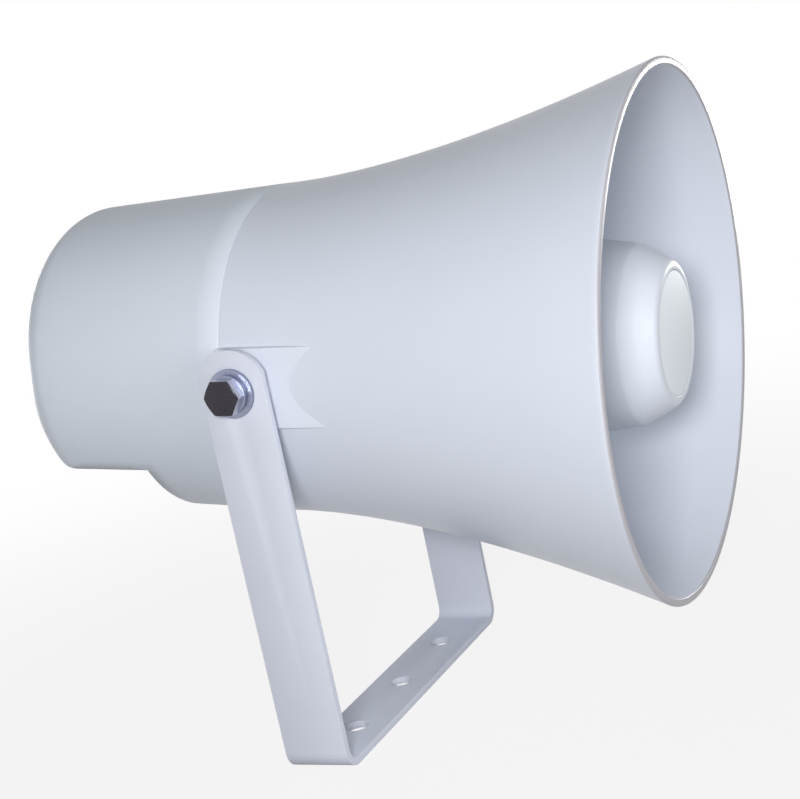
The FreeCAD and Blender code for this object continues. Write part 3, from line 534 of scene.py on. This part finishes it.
def bell_shell():
    """The wall of the bell: flare, rounded rim, bowl, bulkhead and skirt."""
    bowl_x = bulkhead_front_x + bowl_round
    rim_x = mouth_x - rim_length
    outer = [(x, flare_radius(x)) for x in spaced(seam_x + seam_groove, rim_x, 56)]
    inner = [(x, bell_inner_radius(x)) for x in spaced(rim_x, bowl_x, 48)]
    rim_outer = (mouth_x, flare_radius(mouth_x))
    rim_inner = (mouth_x, bell_inner_radius(mouth_x))
    rim = rounded(outer[-1], rim_outer, rim_inner, rim_round)
    rim += rounded(rim_outer, rim_inner, inner[0], rim_round)
    flat_radius = inner[-1][1] - bowl_round
    bowl = sweep_points((bowl_x, flat_radius), bowl_round, 90, 180, 20)[1:]
    back_round = bowl_round + bulkhead_front_x - bulkhead_rear_x
    reach = math.degrees(math.asin((skirt_inner_radius - flat_radius) / back_round))
    back = sweep_points((bowl_x, flat_radius), back_round, 180, 180 - reach, 12)
    hole = [(bulkhead_front_x, bulkhead_hole_radius), (bulkhead_rear_x, bulkhead_hole_radius)]
    skirt = [(seam_x, skirt_inner_radius), (seam_x, seam_radius - seam_groove)]
    return turned(outer + rim + inner + bowl + hole + back + skirt)


def pivot_pad():
    """The flat pad on the left side, whose root follows the flare inside the wall."""
    bm = bmesh.new()
    bmesh.ops.create_cube(bm, size=1.0)
    size = (pad_front_x - seam_x - seam_groove, pad_distance - pad_root_y, pad_top_z - pad_bottom_z)
    middle = ((pad_front_x + seam_x + seam_groove) / 2, (pad_distance + pad_root_y) / 2,
              (pad_top_z + pad_bottom_z) / 2)
    bmesh.ops.scale(bm, verts=bm.verts, vec=size)
    bmesh.ops.translate(bm, verts=bm.verts, vec=middle)
    soften(bm, pad_edge_round)
    for i in range(1, pad_cuts_x):
        cut(bm, (seam_x + seam_groove + size[0] * i / pad_cuts_x, 0, 0), (1, 0, 0))
    for i in range(1, pad_cuts_z):
        cut(bm, (0, 0, pad_bottom_z + size[2] * i / pad_cuts_z), (0, 0, 1))
    for v in bm.verts:
        least = flare_radius(v.co.x) - pad_sink
        radius = math.hypot(v.co.y, v.co.z)
        if radius < least:
            v.co.y *= least / radius
            v.co.z *= least / radius
    return bm


def pivot_collar():
    """The round collar that stands on the pad, with the bore of the insert."""
    outer = (collar_end_y, collar_radius)
    profile = [(collar_root_y, insert_radius), (collar_root_y, collar_radius)]
    profile += rounded(profile[-1], outer, (collar_end_y, insert_radius), collar_edge_round)
    profile.append((collar_end_y, insert_radius))
    return turned(profile, 96, "Y")


def insert_boss():
    """The closed boss inside the skirt that holds the threaded insert."""
    root_y = skirt_inner_radius + overlap
    profile = [(insert_boss_start_y, insert_boss_middle_radius),
               (insert_boss_start_y, insert_boss_radius),
               (root_y, insert_boss_radius), (root_y, insert_radius),
               (insert_bottom_y, insert_radius), (insert_bottom_y, insert_boss_middle_radius)]
    return turned(profile, 64, "Y")


bell_parts = [bell_shell()]
for make in (pivot_pad, pivot_collar, insert_boss):
    left = make()
    bell_parts += [mirrored(left), left]
for angle in cover_screw_angles:
    bell_parts.append(rod(post_end_x, bulkhead_rear_x + overlap, post_radius,
                          *on_circle(cover_screw_circle, angle)))
for angle in driver_screw_angles:
    bell_parts.append(rod(bulkhead_front_x - overlap, driver_boss_end_x, driver_boss_radius,
                          *on_circle(driver_screw_circle, angle)))
for angle in leg_angles:
    bell_parts.append(rod(bulkhead_front_x - overlap, leg_foot_x, leg_pad_radius,
                          *on_circle(leg_circle, angle)))
piece(joined(bell_parts), "bell", "horn", "horn_plastic", ["horn_bell"])


# Reflector and nose disc


def reflector_flank(start, inset):
    """The curved side from the nose's shoulder to the rear edge."""
    straight = reflector_straight_share * (start[0] - reflector_rear_x)
    pull = (start[0] - straight, start[1] + straight * math.tan(reflector_slope))
    return bezier(start, pull, (reflector_rear_x, reflector_rear_radius - inset), 40)


def reflector_shell():
    """The closed nose with its recess for the disc, and the flank that opens to the rear."""
    recess_radius = disc_radius + disc_play
    nose_edge = (nose_x, nose_radius)
    shoulder = (nose_cone_x, nose_cone_radius)
    flank = reflector_flank(shoulder, 0)
    inner_shoulder = (nose_cone_x, nose_cone_radius - reflector_wall)
    inner_flank = reflector_flank(inner_shoulder, reflector_wall)
    inner_nose_x = disc_rear_x - nose_wall
    rise = (nose_cone_radius - nose_radius) / (nose_x - nose_cone_x)
    inner_nose = (inner_nose_x, nose_radius + (nose_x - inner_nose_x) * rise - reflector_wall)
    profile = [(disc_rear_x, 0), (disc_rear_x, recess_radius)]
    profile += rounded(profile[-1], (nose_x, recess_radius), nose_edge, disc_recess_round, 3)
    profile += rounded((nose_x, recess_radius), nose_edge, shoulder, nose_round)
    profile += rounded(nose_edge, shoulder, flank[4], nose_shoulder_round, 8)
    profile += flank[1:-1]
    rear = (reflector_rear_x, reflector_rear_radius)
    inner_rear = (reflector_rear_x, reflector_rear_radius - reflector_wall)
    profile += rounded(flank[-2], rear, inner_rear, reflector_rear_round, 4)
    profile += rounded(rear, inner_rear, inner_flank[-2], reflector_rear_round, 4)
    profile += inner_flank[-2::-1]
    profile += [inner_nose, (inner_nose_x, 0)]
    return turned(profile, reflector_turn_steps)


reflector_parts = [reflector_shell()]
for angle in leg_angles:
    reflector_parts.append(rod(leg_foot_x, leg_end_x, leg_radius, *on_circle(leg_circle, angle)))
piece(joined(reflector_parts), "reflector", "horn", "reflector_plastic", ["reflector"])

disc_profile = [(disc_rear_x, 0), (disc_rear_x, disc_radius)]
disc_profile += rounded(disc_profile[-1], (disc_front_x, disc_radius), (disc_front_x, 0),
                        disc_edge_round, 4)
disc_profile.append((disc_front_x, 0))
piece(turned(disc_profile), "nose_disc", "horn", "disc_plastic", ["nose_disc"])

# Rear cover
piece(merged_copy("rear_cover"), "rear_cover", "horn", "cover_plastic", ["rear_cover"],
      place=Matrix.Identity(4))


# Bracket: a flat strip, punched, deburred and bent


def strip_blank():
    """The flat blank, as long as the bent strip, with rounded ends and all its holes."""
    base_half = arm_outer_y - bend_outer_radius
    bend_length = (bend_outer_radius - strip_thickness / 2) * math.pi / 2
    half = strip_width / 2

    def unrolled(z):
        """The place along the flat blank that ends up at the height z."""
        return base_half + bend_length + z - bend_outer_radius

    end_s = unrolled(arm_end_z)
    corner_deg = math.degrees(math.acos(half / arm_end_radius))
    bm = bmesh.new()
    outline = sweep_points((0, end_s), arm_end_radius, corner_deg, 180 - corner_deg, 28)
    outline += [(-x, -s) for x, s in outline]
    loop = [bm.verts.new((x, s, 0)) for x, s in outline]
    edges = [bm.edges.new((a, b)) for a, b in zip(loop, loop[1:] + loop[:1])]
    holes = [(s, base_hole_radius) for s in (-base_hole_pitch, 0, base_hole_pitch)]
    holes += [(s, pivot_hole_radius) for s in (unrolled(pivot_z), -unrolled(pivot_z))]
    for s, radius in holes:
        ring = bmesh.ops.create_circle(bm, cap_ends=False, segments=48, radius=radius,
                                       matrix=Matrix.Translation((0, s, 0)))["verts"]
        edges += list(dict.fromkeys(e for v in ring for e in v.link_edges))
    bmesh.ops.triangle_fill(bm, use_beauty=True, use_dissolve=False, edges=edges)
    grown = bmesh.ops.extrude_face_region(bm, geom=bm.faces[:])["geom"]
    bmesh.ops.translate(bm, verts=[g for g in grown if isinstance(g, bmesh.types.BMVert)],
                        vec=(0, 0, strip_thickness))
    bmesh.ops.recalc_face_normals(bm, faces=bm.faces)
    return bm, base_half, bend_length


def bracket_strip():
    """The blank with rounded edges, bent at both ends of its base."""
    bm, base_half, bend_length = strip_blank()
    bmesh.ops.dissolve_limit(bm, angle_limit=0.001, verts=[], edges=bm.edges)
    soften(bm, strip_edge_round)
    for side in (-1, 1):
        for share in spaced(0, 1, 18):
            cut(bm, (0, side * (base_half + bend_length * share), 0), (0, 1, 0))
    for v in bm.verts:
        x, s, height = v.co
        side = 1 if s > 0 else -1
        past = abs(s) - base_half
        if past <= 0:
            continue
        if past < bend_length:
            angle = past / bend_length * math.pi / 2
            radius = bend_outer_radius - height
            v.co.y = side * (base_half + radius * math.sin(angle))
            v.co.z = bend_outer_radius - radius * math.cos(angle)
        else:
            v.co.y = side * (arm_outer_y - height)
            v.co.z = bend_outer_radius + past - bend_length
    bmesh.ops.recalc_face_normals(bm, faces=bm.faces)
    return bm


piece(bracket_strip(), "bracket", "bracket", "bracket_paint", ["mounting_bracket"],
      place=on_ground)


# Pivot bolts and washers


def ring_section(y, thickness, outer_radius, edge_round):
    """The rounded section of a washer, as (y, radius) points."""
    corners = [(y, washer_bore), (y, outer_radius), (y + thickness, outer_radius),
               (y + thickness, washer_bore)]
    section = []
    for i, corner in enumerate(corners):
        section += rounded(corners[i - 1], corner, corners[(i + 1) % 4], edge_round, 3)
    return section


def flat_washer():
    return turned(ring_section(washer_y, washer_thickness, washer_radius, washer_edge_round),
                  96, "Y")


def spring_washer():
    """A split ring of square wire."""
    bm = bmesh.new()
    section = ring_section(washer_y + washer_thickness, spring_washer_thickness,
                           spring_washer_radius, spring_washer_edge_round)
    bm.faces.new([bm.verts.new((0, y, radius)) for y, radius in section])
    bmesh.ops.rotate(bm, verts=bm.verts, cent=(0, 0, 0),
                     matrix=Matrix.Rotation(spring_washer_turn + spring_washer_gap / 2, 3, "Y"))
    bmesh.ops.spin(bm, geom=bm.verts[:] + bm.edges[:] + bm.faces[:], cent=(0, 0, 0), axis=(0, 1, 0),
                   dvec=(0, 0, 0), angle=math.tau - spring_washer_gap, steps=90, use_merge=False,
                   use_normal_flip=False, use_duplicate=False)
    bmesh.ops.recalc_face_normals(bm, faces=bm.faces)
    return bm


def hexagon_bolt():
    """A head turned with its chamfer and then cut to six flats, on a plain shank."""
    corner = head_flats / math.sqrt(3)
    top_y = head_seat_y + head_height
    crown = corner - head_chamfer / math.tan(head_chamfer_slope)
    head = turned([(head_seat_y, 0), (head_seat_y, corner), (top_y - head_chamfer, corner),
                   (top_y, crown), (top_y, 0)], 144, "Y")
    for i in range(6):
        turn = math.radians(60 * i + 30)
        normal = Vector((math.cos(turn), 0, math.sin(turn)))
        outline = [g for g in cut(head, normal * head_flats / 2, normal, keep_inside=True)
                   if isinstance(g, bmesh.types.BMEdge)]
        bmesh.ops.contextual_create(head, geom=outline)
    bmesh.ops.recalc_face_normals(head, faces=head.faces)
    shank = rod(head_seat_y - bolt_length, head_seat_y + bolt_neck_overlap, bolt_radius,
                axis="Y", edge=bolt_tip_round)
    return joined([head, shank])


def on_both_sides(make, name, finish):
    """A fixing on the left of the horn and its twin on the right."""
    left = make()
    right = mirrored(left)
    piece(left, name + "_left", "horn", "stainless", [name + "_left"], finish=finish)
    piece(right, name + "_right", "horn", "stainless", [name + "_right"], finish=finish)


on_both_sides(flat_washer, "flat_washer", "washer_steel")
on_both_sides(spring_washer, "spring_washer", "washer_steel")
on_both_sides(hexagon_bolt, "pivot_bolt", "stainless")


# The inner pieces and fixings keep their CAD shape and take the finish of their slot
for entry in frame["record"]["subparts"]:
    node = frame["nodes"][entry["node"]]
    for slot in node.material_slots:
        slot.material = finishes[entry["material_slot"]]


# Camera, at the photograph's place
camera_place = (0.30692, -0.54437, 0.24258)
picture_right = (0.88803, 0.41321, -0.20163)
picture_up = (0.09989, 0.25467, 0.96186)
towards_camera = (0.44880, -0.87430, 0.18488)
camera = bpy.data.objects.new("camera", bpy.data.cameras.new("camera"))
scene.collection.objects.link(camera)
view_axes = Matrix((picture_right, picture_up, towards_camera)).transposed()
camera.matrix_world = Matrix.Translation(camera_place) @ view_axes.to_4x4()
camera.data.lens = 68.07
camera.data.sensor_width = 36.0
camera.data.clip_start = 0.01
camera.data.dof.use_dof = False
scene.camera = camera


# Lamps, with places and sizes in metres and power in watts
lamp_aim = Vector((0.02, 0.0, 0.14))


def soft_lamp(name, place, size, power):
    data = bpy.data.lights.new(name, "AREA")
    data.shape = "RECTANGLE"
    data.size, data.size_y = size
    data.energy = power
    obj = bpy.data.objects.new(name, data)
    obj.location = place
    obj.rotation_euler = (lamp_aim - Vector(place)).to_track_quat("-Z", "Y").to_euler()
    scene.collection.objects.link(obj)


soft_lamp("key_lamp", (0.3, -0.68, 0.31), (0.14, 0.12), 3.7)
soft_lamp("mouth_lamp", (0.92, -0.42, 0.3), (0.5, 0.4), 2.4)
soft_lamp("rear_lamp", (-1.05, 0.5, 0.12), (0.9, 0.2), 7.0)
soft_lamp("far_lamp", (0.2, 1.15, 0.12), (0.9, 0.2), 5.5)


# Floor and surroundings: white to the camera and in reflections, plain to everything else


def math_node(tree, operation, first, second):
    node = tree.nodes.new("ShaderNodeMath")
    node.operation = operation
    tree.links.new(first, node.inputs[0])
    tree.links.new(second, node.inputs[1])
    return node.outputs[0]


def white_to_camera(tree, plain, white, share=None):
    """Mix the white in for camera, glossy and transmission rays, wholly or by a share."""
    rays = tree.nodes.new("ShaderNodeLightPath").outputs
    amount = math_node(tree, "MAXIMUM", rays["Is Camera Ray"], rays["Is Glossy Ray"])
    amount = math_node(tree, "MAXIMUM", amount, rays["Is Transmission Ray"])
    if share:
        amount = math_node(tree, "MULTIPLY", amount, share)
    mix = tree.nodes.new("ShaderNodeMixShader")
    tree.links.new(amount, mix.inputs[0])
    tree.links.new(plain, mix.inputs[1])
    tree.links.new(white, mix.inputs[2])
    return mix.outputs[0]


ambient_level = 0.13
ambient_tone = (0.86, 0.94, 1.0, 1.0)
world = bpy.data.worlds.new("studio")
world.use_nodes = True
scene.world = world
tree = world.node_tree
plain = tree.nodes["Background"]
plain.inputs["Color"].default_value = ambient_tone
plain.inputs["Strength"].default_value = ambient_level
white = tree.nodes.new("ShaderNodeBackground")
white.inputs["Color"].default_value = (1, 1, 1, 1)
white.inputs["Strength"].default_value = 1.0
tree.links.new(white_to_camera(tree, plain.outputs[0], white.outputs[0]),
               tree.nodes["World Output"].inputs["Surface"])

floor_radius = 6.0
floor_tone = (0.4, 0.4, 0.4, 1)
# The floor shows the object's shadow near it and is all white further out
shadow_reach = (0.15, 0.75)
floor_white_share = (0.86, 1.0)
floor_mesh = bpy.data.meshes.new("floor")
floor_bm = bmesh.new()
bmesh.ops.create_circle(floor_bm, cap_ends=True, segments=96, radius=floor_radius)
floor_bm.to_mesh(floor_mesh)
floor_bm.free()
floor = bpy.data.objects.new("floor", floor_mesh)
scene.collection.objects.link(floor)
floor_finish = bpy.data.materials.new("floor_white")
floor_finish.use_nodes = True
tree = floor_finish.node_tree
floor_plain = tree.nodes["Principled BSDF"]
floor_plain.inputs["Base Color"].default_value = floor_tone
floor_plain.inputs["Roughness"].default_value = 0.9
glow = tree.nodes.new("ShaderNodeEmission")
glow.inputs["Strength"].default_value = 1.0
from_object = tree.nodes.new("ShaderNodeVectorMath")
from_object.operation = "LENGTH"
tree.links.new(tree.nodes.new("ShaderNodeTexCoord").outputs["Object"], from_object.inputs[0])
fade = tree.nodes.new("ShaderNodeMapRange")
fade.interpolation_type = "SMOOTHSTEP"
fade.inputs["From Min"].default_value, fade.inputs["From Max"].default_value = shadow_reach
fade.inputs["To Min"].default_value, fade.inputs["To Max"].default_value = floor_white_share
tree.links.new(from_object.outputs["Value"], fade.inputs["Value"])
floor_white = white_to_camera(tree, floor_plain.outputs[0], glow.outputs[0],
                              fade.outputs["Result"])
tree.links.new(floor_white, tree.nodes["Material Output"].inputs["Surface"])
floor_mesh.materials.append(floor_finish)

scene.view_settings.view_transform = "Standard"
